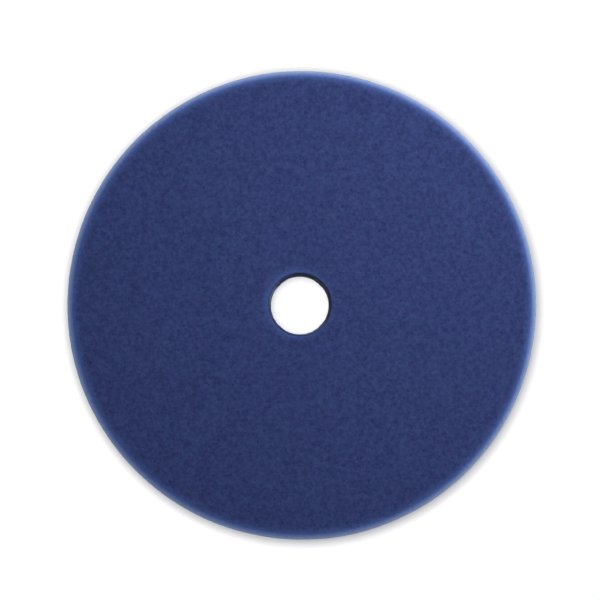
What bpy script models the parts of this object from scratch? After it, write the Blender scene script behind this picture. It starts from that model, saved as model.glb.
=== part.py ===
"""Foam polishing pad, 165 mm across, for a random-orbital car polisher.

The pad lies on its loop backing with its working face up. The origin is the centre of the
loop face, and +Z is the pad's axis, through the centre hole and out of the working face.
Lengths are in metres. The pad is a stack of four bonded discs, and each is a turned solid.
"""

import math

import bmesh
import bpy

# Driving dimensions
FACE_DIAMETER = 0.165  # working face at its widest
BACKING_DIAMETER = 0.152  # foam back and loop cloth, 1 mm proud of a 150 mm backing plate
HOLE_DIAMETER = 0.022  # centring hole, straight through all four layers
PAD_HEIGHT = 0.0254  # loop face to working face
RIM_RADIUS = 0.0042  # rounding between the working face and the side
HOLE_EDGE_RADIUS = 0.0008  # slight rounding between the working face and the hole
PILE_HEIGHT = 0.0012  # standing loops that the backing plate's hooks catch
PILE_EDGE_RADIUS = 0.0004  # the outermost loops lean over
CLOTH_THICKNESS = 0.0005  # knitted ground of the loop cloth
FILM_THICKNESS = 0.0003  # melted adhesive between the foam and the cloth
LAYER_GAP = 0.0003  # clearance that keeps bonded layers separate solids

# Fineness of the turned surfaces
SEGMENTS = 96
RIM_STEPS = 8
UNDER_RIM_STEPS = 2
SMALL_ARC_STEPS = 4
SHARP_ANGLE = math.radians(35)
MERGE_DISTANCE = 0.00005

# Worked out from the driving dimensions
FACE_RADIUS = FACE_DIAMETER / 2
BACKING_RADIUS = BACKING_DIAMETER / 2
BORE_RADIUS = HOLE_DIAMETER / 2
CLOTH_BOTTOM = PILE_HEIGHT + LAYER_GAP
FILM_BOTTOM = CLOTH_BOTTOM + CLOTH_THICKNESS + LAYER_GAP
FOAM_BOTTOM = FILM_BOTTOM + FILM_THICKNESS + LAYER_GAP
FOAM_HEIGHT = PAD_HEIGHT - FOAM_BOTTOM


def clear_scene():
    for obj in list(bpy.data.objects):
        bpy.data.objects.remove(obj)


def srgb(hex_colour):
    """A linear RGBA colour from an sRGB hex string."""
    channels = [int(hex_colour[i : i + 2], 16) / 255 for i in (0, 2, 4)]
    linear = [c / 12.92 if c <= 0.04045 else ((c + 0.055) / 1.055) ** 2.4 for c in channels]
    return (*linear, 1.0)


def material(name, hex_colour, roughness, sheen=0.0):
    made = bpy.data.materials.new(name)
    made.use_nodes = True
    shader = made.node_tree.nodes["Principled BSDF"]
    shader.inputs["Base Color"].default_value = srgb(hex_colour)
    shader.inputs["Roughness"].default_value = roughness
    shader.inputs["Metallic"].default_value = 0.0
    shader.inputs["Sheen Weight"].default_value = sheen
    return made


def arc(centre_r, centre_z, radius, start, end, steps):
    """Points (r, z) round a circle from angle start to angle end, both included."""
    angles = [start + (end - start) * i / steps for i in range(steps + 1)]
    return [(centre_r + radius * math.cos(a), centre_z + radius * math.sin(a)) for a in angles]


def side_lean(centre_r, centre_z):
    """Angle from the vertical of the foam's side.

    The side is the straight line from the foam's bottom edge that just touches the rim's
    circle: the line to the circle's centre leans outwards, and the tangent leans further.
    """
    outwards = centre_r - BACKING_RADIUS
    to_centre = math.hypot(outwards, centre_z)
    return math.atan2(outwards, centre_z) + math.asin(RIM_RADIUS / to_centre)


def foam_profile():
    """Working face, rounded rim, side leaning in to the back, back, bore, rounded bore edge."""
    rim_r = FACE_RADIUS - RIM_RADIUS
    rim_z = FOAM_HEIGHT - RIM_RADIUS
    lean = side_lean(rim_r, rim_z)
    rim = arc(rim_r, rim_z, RIM_RADIUS, math.pi / 2, 0, RIM_STEPS)
    under_rim = arc(rim_r, rim_z, RIM_RADIUS, 0, -lean, UNDER_RIM_STEPS)
    bore_edge = arc(
        BORE_RADIUS + HOLE_EDGE_RADIUS, FOAM_HEIGHT - HOLE_EDGE_RADIUS, HOLE_EDGE_RADIUS,
        math.pi, math.pi / 2, SMALL_ARC_STEPS,
    )
    return [*rim, *under_rim[1:], (BACKING_RADIUS, 0), (BORE_RADIUS, 0), *bore_edge]


def flat_ring_profile(thickness):
    return [
        (BACKING_RADIUS, thickness),
        (BACKING_RADIUS, 0),
        (BORE_RADIUS, 0),
        (BORE_RADIUS, thickness),
    ]


def pile_profile():
    """A flat ring whose lower outer edge is rounded, where the outermost loops lean."""
    edge = arc(
        BACKING_RADIUS - PILE_EDGE_RADIUS, PILE_EDGE_RADIUS, PILE_EDGE_RADIUS,
        0, -math.pi / 2, SMALL_ARC_STEPS,
    )
    return [
        (BACKING_RADIUS, PILE_HEIGHT),
        *edge,
        (BORE_RADIUS, 0),
        (BORE_RADIUS, PILE_HEIGHT),
    ]


def outline_mesh(name, profile):
    """The closed profile as a loop of edges in the XZ plane, at +X."""
    mesh = bpy.data.meshes.new(name)
    outline = bmesh.new()
    corners = [outline.verts.new((r, 0, z)) for r, z in profile]
    for corner, following in zip(corners, corners[1:] + corners[:1]):
        outline.edges.new((corner, following))
    outline.to_mesh(mesh)
    outline.free()
    return mesh


def turned(name, profile, bottom, finish, collection, parent):
    """Turn a closed profile once about Z, and place it with its base at height bottom."""
    obj = bpy.data.objects.new(name, outline_mesh(name, profile))
    collection.objects.link(obj)
    screw = obj.modifiers.new("turn", "SCREW")
    screw.axis = "Z"
    screw.angle = math.tau
    screw.steps = SEGMENTS
    screw.render_steps = SEGMENTS
    screw.use_merge_vertices = True
    screw.merge_threshold = MERGE_DISTANCE
    graph = bpy.context.evaluated_depsgraph_get()
    solid = bpy.data.meshes.new_from_object(obj.evaluated_get(graph))
    outline = obj.data
    obj.modifiers.clear()
    obj.data = solid
    bpy.data.meshes.remove(outline)
    solid.name = name
    solid.materials.clear()
    solid.materials.append(finish)
    solid.shade_smooth()
    solid.set_sharp_from_angle(angle=SHARP_ANGLE)
    obj.location = (0, 0, bottom)
    obj.parent = parent
    return obj


def build():
    clear_scene()
    collection = bpy.data.collections.new("polishing_pad")
    bpy.context.scene.collection.children.link(collection)
    axis = bpy.data.objects.new("pad_axis", None)
    collection.objects.link(axis)

    foam = material("blue open-cell polyurethane foam", "323C6A", 0.95, sheen=0.3)
    film = material("clear hot-melt adhesive", "B9C0C6", 0.35)
    ground = material("white knitted nylon ground", "D6D8D8", 0.85)
    loops = material("white brushed nylon loops", "E4E5E4", 0.9, sheen=0.4)

    turned("foam_disc", foam_profile(), FOAM_BOTTOM, foam, collection, axis)
    turned("adhesive_film", flat_ring_profile(FILM_THICKNESS), FILM_BOTTOM, film, collection, axis)
    turned("loop_base_cloth", flat_ring_profile(CLOTH_THICKNESS), CLOTH_BOTTOM, ground, collection, axis)
    turned("loop_pile", pile_profile(), 0, loops, collection, axis)


build()
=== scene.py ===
"""A blue foam polishing pad, 165 mm across, lying on its loop backing with its working face up."""

import math

import bpy
import numpy as np
from mathutils import Matrix, Vector


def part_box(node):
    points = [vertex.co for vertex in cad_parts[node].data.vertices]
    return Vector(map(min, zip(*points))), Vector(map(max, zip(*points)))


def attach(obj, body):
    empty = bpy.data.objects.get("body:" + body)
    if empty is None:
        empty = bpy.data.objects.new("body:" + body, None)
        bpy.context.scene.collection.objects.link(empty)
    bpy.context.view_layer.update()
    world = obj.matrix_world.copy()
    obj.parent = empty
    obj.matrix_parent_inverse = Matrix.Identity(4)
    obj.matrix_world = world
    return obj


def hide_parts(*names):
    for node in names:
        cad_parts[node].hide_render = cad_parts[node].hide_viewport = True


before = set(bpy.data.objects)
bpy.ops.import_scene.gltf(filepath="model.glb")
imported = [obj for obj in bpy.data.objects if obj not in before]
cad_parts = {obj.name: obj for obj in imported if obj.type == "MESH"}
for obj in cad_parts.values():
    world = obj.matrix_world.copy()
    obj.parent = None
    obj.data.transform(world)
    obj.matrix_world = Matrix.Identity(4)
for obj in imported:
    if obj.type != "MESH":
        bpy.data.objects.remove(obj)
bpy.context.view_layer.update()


# ---- Foam disc ----------------------------------------------------------------------------
# The body of the pad is a slab of open-cell polyurethane foam, dyed dark blue and cut round.
# The rim is ground to a curve and the side is ground in towards the backing, which leaves the cut
# cells standing open: finely pitted all over. Along the rim a painted highlight makes the blue
# stronger and then paler.

MM = 0.001
foam_low, foam_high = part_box("foam_disc")
film_low, film_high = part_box("adhesive_film")
FACE_Z = foam_high.z
FACE_R = foam_high.x
BACK_R = film_high.x
FOAM_BOTTOM = (foam_low.z + film_high.z) / 2
RIM_CURVE = 4.2 * MM
BORE_CURVE = 0.8 * MM
GRIND_STEP = 0.45 * MM
BORE_STEP = 0.6 * MM
HIDDEN_STEP = 8 * MM
FOAM_COLUMNS = 1024
SPRING_BACK = 0.2 * MM  # foam and cloth close in a little once the punch is drawn out
HOLE_OFFSET = (-0.7 * MM, -0.25 * MM, 0.0)  # the punch comes down a little off centre
MOVED_R = 11 * MM  # everything nearer the axis than this moves over with the hole
STILL_R = 30 * MM  # everything farther out than this stays put


def bore_radius(node):
    """The smallest distance of the CAD node's corners from the pad's axis."""
    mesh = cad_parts[node].data
    corners = np.empty(len(mesh.vertices) * 3, np.float32)
    mesh.vertices.foreach_get("co", corners)
    corners = corners.reshape(-1, 3)
    return float(np.hypot(corners[:, 0], corners[:, 1]).min())


BORE_R = bore_radius("foam_disc") - SPRING_BACK


def straight(start, end, step):
    """Even (r, z) points on the straight line from start to end, without the end itself."""
    start, end = np.array(start), np.array(end)
    count = math.ceil(np.hypot(*(end - start)) / step)
    return start + (end - start) * np.arange(count)[:, None] / count


def rounded(centre, radius, first, last, step):
    """Even (r, z) points round a circle from the first angle to the last, without the last."""
    count = math.ceil(abs(last - first) * radius / step)
    angle = first + (last - first) * np.arange(count) / count
    return np.array(centre) + radius * np.stack([np.cos(angle), np.sin(angle)], axis=1)


def foam_outline():
    """The foam's closed (r, z) outline: bore edge, face, rim, side, back and bore.

    The side is the straight line from the back's edge that just touches the rim's circle, so
    it leans by atan(across / up) + asin(radius / distance) to that circle's centre.
    """
    rim_centre = (FACE_R - RIM_CURVE, FACE_Z - RIM_CURVE)
    across = rim_centre[0] - BACK_R
    up = rim_centre[1] - FOAM_BOTTOM
    lean = math.atan2(across, up) + math.asin(RIM_CURVE / math.hypot(across, up))
    side_top = (
        rim_centre[0] + RIM_CURVE * math.cos(lean),
        rim_centre[1] - RIM_CURVE * math.sin(lean),
    )
    bore_centre = (BORE_R + BORE_CURVE, FACE_Z - BORE_CURVE)
    return np.concatenate([
        rounded(bore_centre, BORE_CURVE, math.pi, math.pi / 2, GRIND_STEP / 2),
        straight((bore_centre[0], FACE_Z), (rim_centre[0], FACE_Z), GRIND_STEP),
        rounded(rim_centre, RIM_CURVE, math.pi / 2, -lean, GRIND_STEP * 0.8),
        straight(side_top, (BACK_R, FOAM_BOTTOM), GRIND_STEP),
        straight((BACK_R, FOAM_BOTTOM), (BORE_R, FOAM_BOTTOM), HIDDEN_STEP),
        straight((BORE_R, FOAM_BOTTOM), (BORE_R, bore_centre[1]), BORE_STEP),
    ])


def outline_normals(outline):
    """Unit normals of a closed outline: the step between a point's neighbours, turned left."""
    along = np.roll(outline, -1, axis=0) - np.roll(outline, 1, axis=0)
    normal = np.stack([-along[:, 1], along[:, 0]], axis=1)
    return normal / np.linalg.norm(normal, axis=1, keepdims=True)


def turned(outline, columns):
    """The outline's points carried round the axis: (r cos a, r sin a, z) for each angle a."""
    angle = 2 * math.pi * np.arange(columns) / columns
    r, z = outline[:, 0, None], outline[:, 1, None]
    return np.stack([r * np.cos(angle), r * np.sin(angle), z + 0 * angle], axis=2)


def punched(points):
    """The points moved over by the hole's offset: wholly inside MOVED_R, and less out to STILL_R."""
    r = np.hypot(points[..., 0], points[..., 1])
    share = np.clip((STILL_R - r) / (STILL_R - MOVED_R), 0, 1)
    return points + share[..., None] * np.array(HOLE_OFFSET)


def chance(cells, salt):
    """A repeatable number from 0 to 1 for each whole-number cell.

    The three indices are multiplied by odd numbers and joined bit by bit, and two rounds of
    shift and multiply mix the bits.
    """
    index = cells.astype(np.int64).astype(np.uint64)
    mixed = (
        index[..., 0] * np.uint64(73856093)
        ^ index[..., 1] * np.uint64(19349663)
        ^ index[..., 2] * np.uint64(83492791)
        ^ np.uint64(salt * 2654435761)
    )
    for shift in (29, 32):
        mixed = (mixed ^ (mixed >> np.uint64(shift))) * np.uint64(0x9E3779B97F4A7C15)
    return (mixed >> np.uint64(40)).astype(np.float64) / 2**24


def swell(points, size, salt):
    """Soft random waves from -1 to 1: each cell corner has a height, eased to the next."""
    scaled = points / size
    cell = np.floor(scaled)
    ease = scaled - cell
    ease = ease * ease * (3 - 2 * ease)
    total = np.zeros(points.shape[:-1])
    for corner in np.ndindex(2, 2, 2):
        weight = np.prod(np.where(corner, ease, 1 - ease), axis=-1)
        total += weight * chance(cell + corner, salt)
    return 2 * total - 1


def cell_hollows(points, size, salt):
    """0 on the walls between foam cells and 1 well inside one.

    Each cell of a grid holds one bubble centre at a random place. The wall is where the two
    nearest centres are equally far, so the hollow is the difference of the two distances. It
    is 1 from WALL_SLOPE on, which is in cells.
    """
    scaled = points / size
    cell = np.floor(scaled)
    nearest = np.full(points.shape[:-1], np.inf)
    second = nearest.copy()
    for corner in np.ndindex(3, 3, 3):
        other = cell + corner - 1
        centre = other + np.stack([chance(other, salt + k) for k in range(3)], axis=-1)
        away = np.linalg.norm(scaled - centre, axis=-1)
        second = np.minimum(second, np.maximum(nearest, away))
        nearest = np.minimum(nearest, away)
    return np.clip((second - nearest) / WALL_SLOPE, 0, 1)


def grid_mesh(name, points):
    """A mesh on a grid of points that closes on itself both along its rows and its columns."""
    rows, columns = points.shape[:2]
    row = np.arange(rows)[:, None]
    column = np.arange(columns)[None, :]
    next_row, next_column = (row + 1) % rows, (column + 1) % columns
    quads = np.stack([
        row * columns + column,
        next_row * columns + column,
        next_row * columns + next_column,
        row * columns + next_column,
    ], axis=-1)
    return quad_mesh(name, points, quads)


def quad_mesh(name, points, faces):
    """A smooth-shaded mesh from arrays of points and of faces that all have as many corners."""
    sides = faces.shape[-1]
    mesh = bpy.data.meshes.new(name)
    mesh.vertices.add(points.size // 3)
    mesh.vertices.foreach_set("co", points.astype(np.float32).ravel())
    mesh.loops.add(faces.size)
    mesh.loops.foreach_set("vertex_index", faces.astype(np.int32).ravel())
    mesh.polygons.add(faces.size // sides)
    mesh.polygons.foreach_set("loop_start", np.arange(0, faces.size, sides, dtype=np.int32))
    mesh.update(calc_edges=True)
    mesh.validate()
    mesh.shade_smooth()
    return mesh


def place(mesh, finish):
    """Put a finished mesh in the scene as an object at the origin, with its material."""
    piece = bpy.data.objects.new(mesh.name, mesh)
    bpy.context.scene.collection.objects.link(piece)
    mesh.materials.append(finish)
    return piece


OPEN_CELL = 1.15 * MM
WALL_SLOPE = 0.6  # in cells
PIT_DEPTH = 0.11 * MM
LUMP = 2.6 * MM
LUMP_HEIGHT = 0.05 * MM
SAW_WAVE = 16 * MM
SAW_WAVE_HEIGHT = 0.12 * MM
GLUED_HEIGHT = 1.2 * MM  # the glue holds the lowest foam smooth


def foam_points():
    """The turned outline, pushed along its normals by the cut foam's relief.

    The relief is open pits, lumps a few cells wide and a slow unevenness from the saw. It
    fades to nothing over the lowest part, down to where the foam is glued.
    """
    outline = foam_outline()
    smooth = turned(outline, FOAM_COLUMNS)
    outwards = turned(outline_normals(outline), FOAM_COLUMNS)
    relief = SAW_WAVE_HEIGHT / 2 * swell(smooth, SAW_WAVE, salt=5)
    relief += LUMP_HEIGHT / 2 * swell(smooth, LUMP, salt=6)
    relief += PIT_DEPTH * (0.5 - cell_hollows(smooth, OPEN_CELL, salt=7))
    above_glue = np.clip((outline[:, 1] - FOAM_BOTTOM) / GLUED_HEIGHT, 0, 1)
    relief *= above_glue[:, None]
    return punched(smooth + relief[..., None] * outwards)


def linear(colour):
    """A linear RGBA colour from an sRGB hex string."""
    parts = [int(colour[k:k + 2], 16) / 255 for k in (0, 2, 4)]
    return (*[c / 12.92 if c <= 0.04045 else ((c + 0.055) / 1.055) ** 2.4 for c in parts], 1)


def add(tree, kind, inputs=None, **settings):
    """Add a shader node with its settings. An input takes a value or another node's output."""
    made = tree.nodes.new(kind)
    for name, value in settings.items():
        setattr(made, name, value)
    for name, value in (inputs or {}).items():
        if isinstance(value, bpy.types.NodeSocket):
            tree.links.new(value, made.inputs[name])
        else:
            made.inputs[name].default_value = value
    return made


def new_material(name):
    """A material with an empty tree, and that tree."""
    made = bpy.data.materials.new(name)
    made.use_nodes = True
    made.node_tree.nodes.clear()
    return made, made.node_tree


def distance_from(tree, spot, centre):
    """The distance of the spot from the vertical line through the centre."""
    offset = add(tree, "ShaderNodeVectorMath", {0: spot, 1: centre},
                 operation="SUBTRACT").outputs["Vector"]
    level = add(tree, "ShaderNodeVectorMath", {0: offset, 1: (1, 1, 0)},
                operation="MULTIPLY").outputs["Vector"]
    return add(tree, "ShaderNodeVectorMath", {0: level}, operation="LENGTH").outputs["Value"]


def nearing(tree, distance, start, end, power, most):
    """A factor that grows from 0 where the distance is start to most where it is end.

    It is most * t ^ power, where t is the share of the way from start to end.
    """
    way = add(tree, "ShaderNodeMapRange", {
        "Value": distance, "From Min": start, "From Max": end,
    }).outputs["Result"]
    eased = add(tree, "ShaderNodeMath", {0: way, 1: power}, operation="POWER").outputs[0]
    return add(tree, "ShaderNodeMath", {0: eased, 1: most}, operation="MULTIPLY").outputs[0]


# Open-cell polyurethane foam, ground: no gloss at all, because the light goes into the cells.
# The struts are a mid blue and the hollows are painted darker, nearly navy, as shade in the cells.
# The dye takes a little unevenly, more violet or more teal. Towards the rim a painted highlight
# turns the cut struts a stronger blue and then a paler one. Beside the hole a painted highlight
# lightens the rounded edge a little, mostly on one side, and the hole's own wall is painted a deep
# blue as shade. Real cells are finer than CELL_SIZE, and wouldn't show.
CELL_SIZE = 1.25 * MM
DYE_PATCH = 2.2 * MM
DYE_DRIFT = 0.9 * MM
STRUT_GRAIN = 1.3 * MM
GRIND_LINE = 0.8 * MM
GRIND_LINES_ALONG = 60  # per metre round the side, so that each one is long and thin
BLUE_STARTS = 5.8 * MM  # from here to BLUE_FULL in from the rim, a painted highlight makes the blue stronger
BLUE_FULL = 1.9 * MM
PALE_STARTS = 3.1 * MM  # from here to PALE_FULL in from the rim, a painted highlight makes the blue paler
PALE_FULL = 0.9 * MM
HIGHLIGHT_LOW = FACE_Z - 1.6 * RIM_CURVE  # the painted highlight fades out down the side, to here
HIGHLIGHT_FULL = FACE_Z - 0.35 * RIM_CURVE
HOLE_HIGHLIGHT_CENTRE = (HOLE_OFFSET[0] - 0.7 * MM, HOLE_OFFSET[1] + 0.3 * MM, 0)
HOLE_HIGHLIGHT_WIDTH = 4.0 * MM
BORE_EDGE = 0.2 * MM  # the painted shade on the hole's wall ends about this far out
# The blue of the painted highlight along the rim and beside the hole.
EDGE_HIGHLIGHT_BLUE = "48609D"


def foam_material():
    made, tree = new_material("blue open-cell polyurethane foam, ground")
    spot = add(tree, "ShaderNodeTexCoord").outputs["Object"]

    cells = add(tree, "ShaderNodeTexVoronoi", {"Vector": spot, "Scale": 1 / CELL_SIZE},
                feature="DISTANCE_TO_EDGE")
    hollow = add(tree, "ShaderNodeMapRange", {
        "Value": cells.outputs["Distance"], "From Min": 0.03, "From Max": 0.34,
    }, interpolation_type="SMOOTHSTEP").outputs["Result"]
    grain = add(tree, "ShaderNodeTexNoise", {
        "Vector": spot, "Scale": 1 / STRUT_GRAIN, "Detail": 1.0, "Roughness": 0.5,
    }).outputs["Fac"]
    patch = add(tree, "ShaderNodeTexNoise", {
        "Vector": spot, "Scale": 1 / DYE_PATCH, "Detail": 2.0, "Roughness": 0.55,
    }).outputs["Fac"]
    drift = add(tree, "ShaderNodeTexNoise", {
        "Vector": spot, "Scale": 1 / DYE_DRIFT, "Detail": 3.0, "Roughness": 0.6,
    }).outputs["Fac"]

    # Painted shade: the cell hollows are darkened a little. The rest of the tone is random.
    depth = add(tree, "ShaderNodeMath", {0: hollow, 1: 0.2}, operation="MULTIPLY").outputs[0]
    speck = add(tree, "ShaderNodeMath", {0: grain, 1: 1.2, 2: -0.6},
                operation="MULTIPLY_ADD").outputs[0]
    lift = add(tree, "ShaderNodeMath", {0: patch, 1: 0.33, 2: 0.435},
               operation="MULTIPLY_ADD").outputs[0]
    lit = add(tree, "ShaderNodeMath", {0: lift, 1: speck}, operation="ADD").outputs[0]
    shade = add(tree, "ShaderNodeMath", {0: lit, 1: depth}, operation="SUBTRACT",
                use_clamp=True).outputs[0]

    turn = add(tree, "ShaderNodeMapRange", {
        "Value": drift, "From Min": 0.35, "From Max": 0.65,
    }).outputs["Result"]
    pale = add(tree, "ShaderNodeMix", {
        "Factor": turn, 6: linear("383C70"), 7: linear("2F436C"),
    }, data_type="RGBA").outputs[2]
    navy = add(tree, "ShaderNodeMix", {
        "Factor": turn, 6: linear("20244F"), 7: linear("1C284E"),
    }, data_type="RGBA").outputs[2]
    face = add(tree, "ShaderNodeMix", {
        "Factor": shade, 6: navy, 7: pale,
    }, data_type="RGBA").outputs[2]

    radius = distance_from(tree, spot, (0, 0, 0))
    height = add(tree, "ShaderNodeSeparateXYZ", {"Vector": spot}).outputs["Z"]
    upper = add(tree, "ShaderNodeMapRange", {
        "Value": height, "From Min": HIGHLIGHT_LOW, "From Max": HIGHLIGHT_FULL,
    }, interpolation_type="SMOOTHSTEP").outputs["Result"]
    uneven = add(tree, "ShaderNodeMath", {0: grain, 1: 0.5, 2: 0.7},
                 operation="MULTIPLY_ADD").outputs[0]
    highlight_reach = add(tree, "ShaderNodeMath", {0: upper, 1: uneven}, operation="MULTIPLY").outputs[0]

    # Painted highlight: towards the rim the blue turns stronger, where the rounded edge catches the
    # light.
    on_rim = nearing(tree, radius, FACE_R - BLUE_STARTS, FACE_R - BLUE_FULL,
                     power=2.4, most=highlight_reach)
    rim_highlighted = add(tree, "ShaderNodeMix", {
        "Factor": on_rim, 6: face, 7: linear(EDGE_HIGHLIGHT_BLUE),
    }, data_type="RGBA").outputs[2]
    # Painted highlight on the hole's rounded edge, stronger on one side of it.
    from_highlight_centre = distance_from(tree, spot, HOLE_HIGHLIGHT_CENTRE)
    at_hole = nearing(tree, from_highlight_centre, BORE_R + HOLE_HIGHLIGHT_WIDTH, BORE_R + BORE_EDGE,
                      power=2.5, most=0.32)
    hole_highlighted = add(tree, "ShaderNodeMix", {
        "Factor": at_hole, 6: rim_highlighted, 7: linear(EDGE_HIGHLIGHT_BLUE),
    }, data_type="RGBA").outputs[2]
    # Painted highlight: the outermost part of the rim turns paler still.
    at_edge = nearing(tree, radius, FACE_R - PALE_STARTS, FACE_R - PALE_FULL,
                      power=2.0, most=highlight_reach)
    edged = add(tree, "ShaderNodeMix", {
        "Factor": at_edge, 6: hole_highlighted, 7: linear("8398C3"),
    }, data_type="RGBA").outputs[2]
    from_hole = distance_from(tree, spot, HOLE_OFFSET)
    # Painted shade: the hole's wall is darkened to a deep blue.
    bore_shade = add(tree, "ShaderNodeMapRange", {
        "Value": from_hole, "From Min": BORE_R + 1.5 * BORE_EDGE,
        "From Max": BORE_R + 0.5 * BORE_EDGE, "To Max": 0.85,
    }, interpolation_type="SMOOTHSTEP").outputs["Result"]
    colour = add(tree, "ShaderNodeMix", {
        "Factor": bore_shade, 6: edged, 7: linear("101A48"),
    }, data_type="RGBA").outputs[2]

    stretched = add(tree, "ShaderNodeMapping", {
        "Vector": spot, "Scale": (GRIND_LINES_ALONG, GRIND_LINES_ALONG, 1 / GRIND_LINE),
    }).outputs["Vector"]
    lines = add(tree, "ShaderNodeTexNoise", {
        "Vector": stretched, "Scale": 1.0, "Detail": 2.0,
    }).outputs["Fac"]
    below = add(tree, "ShaderNodeMapRange", {
        "Value": height, "From Min": FACE_Z - RIM_CURVE, "From Max": FACE_Z - 2 * RIM_CURVE,
        "To Max": 0.5,
    }).outputs["Result"]
    scored = add(tree, "ShaderNodeMath", {0: lines, 1: below}, operation="MULTIPLY").outputs[0]
    pits = add(tree, "ShaderNodeMath", {0: grain, 1: hollow}, operation="SUBTRACT").outputs[0]
    surface = add(tree, "ShaderNodeMath", {0: pits, 1: scored}, operation="ADD").outputs[0]
    bump = add(tree, "ShaderNodeBump", {
        "Height": surface, "Strength": 0.4, "Distance": 0.1 * MM,
    }).outputs["Normal"]

    shader = add(tree, "ShaderNodeBsdfPrincipled", {
        "Base Color": colour,
        "Roughness": 1.0,
        "IOR": 1.5,
        "Specular IOR Level": 0.1,
        "Sheen Weight": 0.2,
        "Sheen Roughness": 0.35,
        "Sheen Tint": linear("B4C2DC"),
        "Normal": bump,
    })
    add(tree, "ShaderNodeOutputMaterial", {"Surface": shader.outputs["BSDF"]})
    return made


foam = place(grid_mesh("foam_body", foam_points()), foam_material())
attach(foam, "root")
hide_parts("foam_disc")


# ---- Adhesive film ------------------------------------------------------------------------
# A web of hot-melt adhesive, ironed between the foam and the loop cloth. It has soaked a
# little way into both, and a thin uneven bead of it shows round the outside and in the bore.

cloth_low, cloth_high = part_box("loop_base_cloth")
FILM_BOTTOM = (film_low.z + cloth_high.z) / 2
FILM_COLUMNS = 900
FILM_EDGE_STEP = 0.14 * MM
FILM_ACROSS_STEP = 5 * MM
BEAD = 0.22 * MM
BEAD_BAND = 1.5 * MM
BEAD_WAVE = 3.5 * MM
BEAD_RIPPLE = 1.1 * MM
SOAKED_PATCH = 2.2 * MM
BUBBLE = 0.5 * MM


def flat_ring(inner, outer, bottom, top, edge_step, across_step):
    """A closed (r, z) outline of a flat ring with rounded edges: top, outside, bottom, inside."""
    curve = (top - bottom) / 2
    middle = bottom + curve
    right, left = (outer - curve, middle), (inner + curve, middle)
    return np.concatenate([
        straight((left[0], top), (right[0], top), across_step),
        rounded(right, curve, math.pi / 2, -math.pi / 2, edge_step),
        straight((right[0], bottom), (left[0], bottom), across_step),
        rounded(left, curve, -math.pi / 2, -1.5 * math.pi, edge_step),
    ])


def film_points():
    """A flat ring whose two edges wander in and out, as squeezed glue does.

    Each edge moves by BEAD times the sum of a slow wave and 0.6 of a quicker one.
    """
    outline = flat_ring(BORE_R, BACK_R, FILM_BOTTOM, FOAM_BOTTOM, FILM_EDGE_STEP, FILM_ACROSS_STEP)
    points = turned(outline, FILM_COLUMNS)
    r = outline[:, 0, None]
    squeeze = swell(points, BEAD_WAVE, salt=21) + 0.6 * swell(points, BEAD_RIPPLE, salt=22)
    at_outside = np.clip((r - BACK_R + BEAD_BAND) / BEAD_BAND, 0, 1)
    at_bore = np.clip((BORE_R + BEAD_BAND - r) / BEAD_BAND, 0, 1)
    grown = 1 + BEAD * squeeze * (at_outside - at_bore) / r
    return punched(points * np.stack([grown, grown, np.ones_like(grown)], axis=2))


# Copolyamide hot-melt adhesive: milky and slightly blue where it has wetted the foam, with a
# waxy half gloss and tiny bubbles.
def adhesive_material():
    made, tree = new_material("copolyamide hot-melt adhesive")
    spot = add(tree, "ShaderNodeTexCoord").outputs["Object"]
    soak = add(tree, "ShaderNodeTexNoise", {
        "Vector": spot, "Scale": 1 / SOAKED_PATCH, "Detail": 3.0, "Roughness": 0.6,
    }).outputs["Fac"]
    wetted = add(tree, "ShaderNodeMapRange", {
        "Value": soak, "From Min": 0.4, "From Max": 0.62,
    }, interpolation_type="SMOOTHSTEP").outputs["Result"]
    colour = add(tree, "ShaderNodeMix", {
        "Factor": wetted, 6: linear("B4BCC8"), 7: linear("6E7EA6"),
    }, data_type="RGBA").outputs[2]
    bubbles = add(tree, "ShaderNodeTexVoronoi", {"Vector": spot, "Scale": 1 / BUBBLE})
    bump = add(tree, "ShaderNodeBump", {
        "Height": bubbles.outputs["Distance"], "Strength": 0.5, "Distance": 0.08 * MM,
    }).outputs["Normal"]
    gloss = add(tree, "ShaderNodeMapRange", {
        "Value": soak, "From Min": 0.3, "From Max": 0.7, "To Min": 0.32, "To Max": 0.55,
    }).outputs["Result"]
    shader = add(tree, "ShaderNodeBsdfPrincipled", {
        "Base Color": colour, "Roughness": gloss, "IOR": 1.5, "Normal": bump,
    })
    add(tree, "ShaderNodeOutputMaterial", {"Surface": shader.outputs["BSDF"]})
    return made


film = place(grid_mesh("hot_melt_film", film_points()), adhesive_material())
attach(film, "root")
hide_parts("adhesive_film")


# ---- Loop cloth, ground -------------------------------------------------------------------
# The ground of the loop cloth is a close warp knit of white nylon, half a millimetre thick.
# It is cut out with the foam, so its edge is flush with it and shows the ends of the yarns.

pile_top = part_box("loop_pile")[1].z
CLOTH_BOTTOM = (cloth_low.z + pile_top) / 2
CLOTH_COLUMNS = 720
CLOTH_EDGE_STEP = 0.2 * MM
CLOTH_ACROSS_STEP = 1.2 * MM
CUT_EDGE = 0.12 * MM  # how far the cutter pulls the edge in or out
CUT_WAVE = 2.4 * MM
CUT_BAND = 2 * MM
UNDERSIDE_WAVE = 4 * MM
UNDERSIDE_HEIGHT = 0.05 * MM
UNDERSIDE_BAND = 0.1 * MM
WALE = 0.9 * MM  # a wave texture's scale is pi / (10 * its spacing)
COURSE = 0.75 * MM
GROUND_FIBRE = 0.3 * MM


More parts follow.
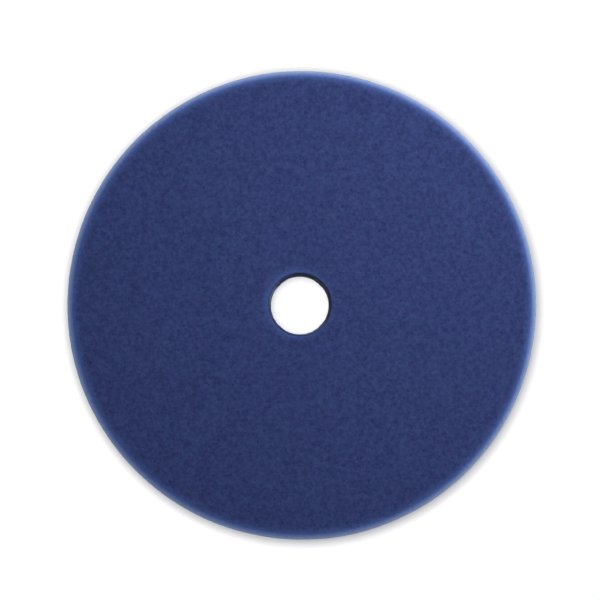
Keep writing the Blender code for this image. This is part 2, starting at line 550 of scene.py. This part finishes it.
def cloth_points():
    """A flat ring, with its outer edge pulled in and out by the cutter and a wavy underside."""
    outline = flat_ring(BORE_R, BACK_R, CLOTH_BOTTOM, FILM_BOTTOM, CLOTH_EDGE_STEP,
                        CLOTH_ACROSS_STEP)
    points = turned(outline, CLOTH_COLUMNS)
    r = outline[:, 0, None]
    pulled = swell(points, CUT_WAVE, salt=31)
    at_outside = np.clip((r - BACK_R + CUT_BAND) / CUT_BAND, 0, 1)
    grown = 1 + CUT_EDGE * pulled * at_outside / r
    points = points * np.stack([grown, grown, np.ones_like(grown)], axis=2)
    underside = (outline[:, 1] < CLOTH_BOTTOM + UNDERSIDE_BAND)[:, None]
    points[..., 2] += UNDERSIDE_HEIGHT * swell(points, UNDERSIDE_WAVE, salt=32) * underside
    return punched(points)


# Texturised nylon yarn, knitted: white, matt and slightly furry. Ribs of stitches (wales) run
# along Y and rows of stitches (courses) cross them, with a shadow between the ribs.
def ground_material():
    made, tree = new_material("white warp-knitted nylon")
    spot = add(tree, "ShaderNodeTexCoord").outputs["Object"]
    ribs = add(tree, "ShaderNodeTexWave", {
        "Vector": spot, "Scale": math.pi / (10 * WALE), "Distortion": 0.6, "Detail": 1.0,
        "Detail Scale": 2.0,
    }, wave_type="BANDS", bands_direction="X").outputs["Fac"]
    stitches = add(tree, "ShaderNodeTexWave", {
        "Vector": spot, "Scale": math.pi / (10 * COURSE), "Distortion": 1.2, "Detail": 1.0,
        "Detail Scale": 3.0,
    }, wave_type="BANDS", bands_direction="Y").outputs["Fac"]
    knit = add(tree, "ShaderNodeMath", {0: stitches, 1: 0.45, 2: ribs},
               operation="MULTIPLY_ADD").outputs[0]
    fibre = add(tree, "ShaderNodeTexNoise", {
        "Vector": spot, "Scale": 1 / GROUND_FIBRE, "Detail": 2.0,
    }).outputs["Fac"]
    height = add(tree, "ShaderNodeMath", {0: fibre, 1: 0.5, 2: knit},
                 operation="MULTIPLY_ADD").outputs[0]
    raised = add(tree, "ShaderNodeMapRange", {
        "Value": height, "From Min": 0.35, "From Max": 1.45,
    }).outputs["Result"]
    colour = add(tree, "ShaderNodeMix", {
        "Factor": raised, 6: linear("A3A6A8"), 7: linear("DCDEDD"),
    }, data_type="RGBA").outputs[2]
    bump = add(tree, "ShaderNodeBump", {
        "Height": height, "Strength": 0.8, "Distance": 0.15 * MM,
    }).outputs["Normal"]
    shader = add(tree, "ShaderNodeBsdfPrincipled", {
        "Base Color": colour, "Roughness": 0.9, "IOR": 1.53, "Specular IOR Level": 0.3,
        "Sheen Weight": 0.3, "Sheen Roughness": 0.5, "Normal": bump,
    })
    add(tree, "ShaderNodeOutputMaterial", {"Surface": shader.outputs["BSDF"]})
    return made


ground_finish = ground_material()
cloth = place(grid_mesh("loop_cloth_ground", cloth_points()), ground_finish)
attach(cloth, "root")
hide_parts("loop_base_cloth")


# ---- Loop cloth, standing loops -----------------------------------------------------------
# A second nylon yarn is knitted into the ground and left standing in small loops, which are
# brushed so that they lean every way. The hooks of the backing plate catch in them, and the
# pad rests on their tips. The loops are split into four quarters to keep each mesh small.

LOOP_PITCH = 1.35 * MM
YARN = 0.24 * MM
LOOP_RINGS = 7
YARN_SIDES = 3
EDGE_MARGIN = 0.9 * MM
SHORTEST_SPAN = 1.0 * MM
SPAN_RANGE = 0.6 * MM
SHALLOWEST = 0.72  # the least depth of a loop, as a share of the depth that reaches the floor
MOST_LEAN = 0.65 * MM
ROOTED = 0.1 * MM  # how far a loop's two feet go up into the ground
FILAMENT = 0.12 * MM


def loop_roots():
    """Places for the loops: rows of a knit, each loop moved a little at random, in the ring."""
    rows = math.ceil(2 * BACK_R / LOOP_PITCH)
    row, column = np.meshgrid(np.arange(rows), np.arange(rows), indexing="ij")
    cell = np.stack([row, column, 0 * row], axis=-1).reshape(-1, 3)
    x = (cell[:, 0] + 0.5 * (cell[:, 1] % 2) + 0.5 * chance(cell, 41)) * LOOP_PITCH - BACK_R
    y = (cell[:, 1] + 0.5 * chance(cell, 42)) * LOOP_PITCH - BACK_R
    r = np.hypot(x, y)
    inside = (r > BORE_R + EDGE_MARGIN) & (r < BACK_R - EDGE_MARGIN)
    return cell[inside], x[inside], y[inside]


def yarn_tubes(path, radius, sides):
    """The points and the triangles of closed tubes along many paths at once.

    path is (tubes, rings, 3). Each ring is a regular polygon square to the path: one spoke is
    level and the other is the path's direction crossed with it. The ends are flat caps.
    """
    tubes, rings = path.shape[:2]
    ahead = np.gradient(path, axis=1)
    ahead /= np.linalg.norm(ahead, axis=2, keepdims=True)
    chord = path[:, -1:] - path[:, :1]
    level = np.cross(chord, (0, 0, 1.0))
    level = level / np.linalg.norm(level, axis=2, keepdims=True) + 0 * ahead
    other = np.cross(ahead, level)
    other /= np.linalg.norm(other, axis=2, keepdims=True)
    turn = 2 * math.pi * np.arange(sides) / sides
    ring = (
        np.cos(turn)[None, None, :, None] * level[:, :, None]
        + np.sin(turn)[None, None, :, None] * other[:, :, None]
    )
    points = path[:, :, None] + radius * ring
    first = (np.arange(tubes) * rings * sides)[:, None, None]
    at = first + np.arange(rings - 1)[None, :, None] * sides
    side, following = np.arange(sides), (np.arange(sides) + 1) % sides
    a, b, c, d = at + side, at + following, at + sides + following, at + sides + side
    walls = np.concatenate([np.stack([a, b, c], -1), np.stack([a, c, d], -1)])
    fan = np.arange(1, sides - 1)
    start = np.stack([0 * fan, fan + 1, fan], -1)
    end = np.stack([0 * fan, fan, fan + 1], -1) + (rings - 1) * sides
    caps = np.concatenate([first + start, first + end])
    faces = np.concatenate([walls.reshape(-1, 3), caps.reshape(-1, 3)])
    return points.reshape(-1, 3), faces


def loop_paths():
    """Each loop is an arch hanging from the ground, with t from 0 at one foot to 1 at the other.

    It goes down by depth * sin(pi t) ^ 0.8, sideways by lean * sin(pi t), and along by
    span * (t - 0.5 + 0.14 * sin(2 pi t)). It heads along Y, either way, give or take 0.75
    radian, so that the loops lie mostly with the ribs of the ground.
    """
    cell, x, y = loop_roots()
    heading = math.pi / 2 + 1.5 * (chance(cell, 43) - 0.5) + math.pi * (chance(cell, 44) > 0.5)
    span = SHORTEST_SPAN + SPAN_RANGE * chance(cell, 45)
    reach = CLOTH_BOTTOM - YARN / 2
    depth = reach * (SHALLOWEST + (1 - SHALLOWEST) * chance(cell, 46))
    lean = 2 * MOST_LEAN * (chance(cell, 47) - 0.5)
    t = np.linspace(0, 1, LOOP_RINGS)[None, :]
    rise = np.sin(math.pi * t)
    along = span[:, None] * (t - 0.5 + 0.14 * np.sin(2 * math.pi * t))
    aside = lean[:, None] * rise
    cos, sin = np.cos(heading)[:, None], np.sin(heading)[:, None]
    return np.stack([
        x[:, None] + cos * along - sin * aside,
        y[:, None] + sin * along + cos * aside,
        CLOTH_BOTTOM + ROOTED - (depth[:, None] + ROOTED) * rise ** 0.8,
    ], axis=2)


# Texturised nylon filament, brushed: brighter than the ground, soft and slightly glossy.
def loop_material():
    made, tree = new_material("white brushed nylon yarn")
    spot = add(tree, "ShaderNodeTexCoord").outputs["Object"]
    filament = add(tree, "ShaderNodeTexNoise", {
        "Vector": spot, "Scale": 1 / FILAMENT, "Detail": 2.0,
    }).outputs["Fac"]
    colour = add(tree, "ShaderNodeMix", {
        "Factor": filament, 6: linear("C6C9CA"), 7: linear("F0F1EF"),
    }, data_type="RGBA").outputs[2]
    bump = add(tree, "ShaderNodeBump", {
        "Height": filament, "Strength": 0.5, "Distance": 0.03 * MM,
    }).outputs["Normal"]
    shader = add(tree, "ShaderNodeBsdfPrincipled", {
        "Base Color": colour, "Roughness": 0.7, "IOR": 1.53, "Specular IOR Level": 0.35,
        "Sheen Weight": 0.4, "Sheen Roughness": 0.5, "Normal": bump,
    })
    add(tree, "ShaderNodeOutputMaterial", {"Surface": shader.outputs["BSDF"]})
    return made


loop_finish = loop_material()
paths = punched(loop_paths())
quarter = (paths[:, 0, 0] > 0) * 2 + (paths[:, 0, 1] > 0)
loop_pieces = []
for index, name in enumerate(["left_front", "left_back", "right_front", "right_back"]):
    points, faces = yarn_tubes(paths[quarter == index], YARN / 2, YARN_SIDES)
    loops = place(quad_mesh("loops_" + name, points, faces), loop_finish)
    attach(loops, "root")
    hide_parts("loop_pile")
    loop_pieces.append(loops)


# ---- Studio -------------------------------------------------------------------------------
# A plain white paper floor that brightens into white walls. The floor has a lamp of its own
# close by the camera, for a tight soft shadow all round the pad. The pad is lit by another one
# above its back right corner, so that its face falls off a little towards the front left.

LENS = 50.88
EYE = Vector((-2.0, -5.4, 295.0)) * MM + Vector((0, 0, FACE_Z))
LOOKED_AT = Vector((-0.72, 1.3, 0.0)) * MM + Vector((0, 0, FACE_Z))
FLOOR_LAMP_PLACE = Vector((-6.4, 3.6, 297.0)) * MM
PAD_LAMP_PLACE = Vector((84.5, 98.5, 285.0)) * MM
PAPER_SIZE = 3.0
GLOW_START = 0.11  # the paper starts to glow past the pad's shadow, this far from the axis
GLOW_FULL = 0.45
WALL_TOP = 0.06  # heights on a dome of radius 1: the walls dim between here and the ceiling
CEILING_START = 0.36
CEILING_LIGHT = 0.29

floor_mesh = bpy.data.meshes.new("studio_floor")
floor_mesh.from_pydata([
    (-PAPER_SIZE, -PAPER_SIZE, 0), (PAPER_SIZE, -PAPER_SIZE, 0),
    (PAPER_SIZE, PAPER_SIZE, 0), (-PAPER_SIZE, PAPER_SIZE, 0),
], [], [(0, 1, 2, 3)])
floor_finish, floor_tree = new_material("white paper floor")
floor_spot = add(floor_tree, "ShaderNodeTexCoord").outputs["Object"]
from_pad = add(floor_tree, "ShaderNodeVectorMath", {0: floor_spot},
               operation="LENGTH").outputs["Value"]
# Painted light: the paper glows, more and more from GLOW_START out to GLOW_FULL.
lit_paper = add(floor_tree, "ShaderNodeMapRange", {
    "Value": from_pad, "From Min": GLOW_START, "From Max": GLOW_FULL, "To Max": 0.66,
}, interpolation_type="SMOOTHSTEP").outputs["Result"]
floor_shader = add(floor_tree, "ShaderNodeBsdfPrincipled", {
    "Base Color": (0.9, 0.9, 0.9, 1), "Roughness": 0.9, "Specular IOR Level": 0.1,
    "Emission Color": (1, 1, 1, 1), "Emission Strength": lit_paper,
})
add(floor_tree, "ShaderNodeOutputMaterial", {"Surface": floor_shader.outputs["BSDF"]})
floor = place(floor_mesh, floor_finish)

world = bpy.data.worlds.new("white walls and a dim ceiling")
bpy.context.scene.world = world
world.use_nodes = True
world.node_tree.nodes.clear()
direction = add(world.node_tree, "ShaderNodeTexCoord").outputs["Generated"]
upwards = add(world.node_tree, "ShaderNodeSeparateXYZ", {"Vector": direction}).outputs["Z"]
wall_light = add(world.node_tree, "ShaderNodeMapRange", {
    "Value": upwards, "From Min": WALL_TOP, "From Max": CEILING_START,
    "To Min": 1.0, "To Max": CEILING_LIGHT,
}, interpolation_type="SMOOTHSTEP").outputs["Result"]
surround = add(world.node_tree, "ShaderNodeBackground", {
    "Color": (1, 1, 1, 1), "Strength": wall_light,
})
add(world.node_tree, "ShaderNodeOutputWorld", {"Surface": surround.outputs["Background"]})


def soft_lamp(name, location, radius, power, lit_pieces):
    """A round soft lamp that lights only the given pieces, though everything shades them."""
    lamp = bpy.data.lights.new(name, "POINT")
    lamp.energy = power
    lamp.shadow_soft_size = radius
    holder = bpy.data.objects.new(name, lamp)
    holder.location = location
    holder.visible_camera = False
    bpy.context.scene.collection.objects.link(holder)
    holder.light_linking.receiver_collection = bpy.data.collections.new("lit by " + name)
    for piece in lit_pieces:
        holder.light_linking.receiver_collection.objects.link(piece)


soft_lamp("floor_lamp", FLOOR_LAMP_PLACE, radius=41 * MM, power=4.05, lit_pieces=[floor])
soft_lamp("pad_lamp", PAD_LAMP_PLACE, radius=50 * MM, power=3.4,
          lit_pieces=[foam, film, cloth, *loop_pieces])

camera = bpy.data.cameras.new("camera")
camera.lens = LENS
camera.clip_start = 0.01
camera_holder = bpy.data.objects.new("camera", camera)
camera_holder.location = EYE
ahead = (LOOKED_AT - EYE).normalized()
right = ahead.cross(Vector((0, 1, 0))).normalized()
camera_holder.rotation_euler = Matrix((right, right.cross(ahead), -ahead)).transposed().to_euler()
bpy.context.scene.collection.objects.link(camera_holder)
bpy.context.scene.camera = camera_holder
bpy.context.scene.view_settings.view_transform = "Standard"
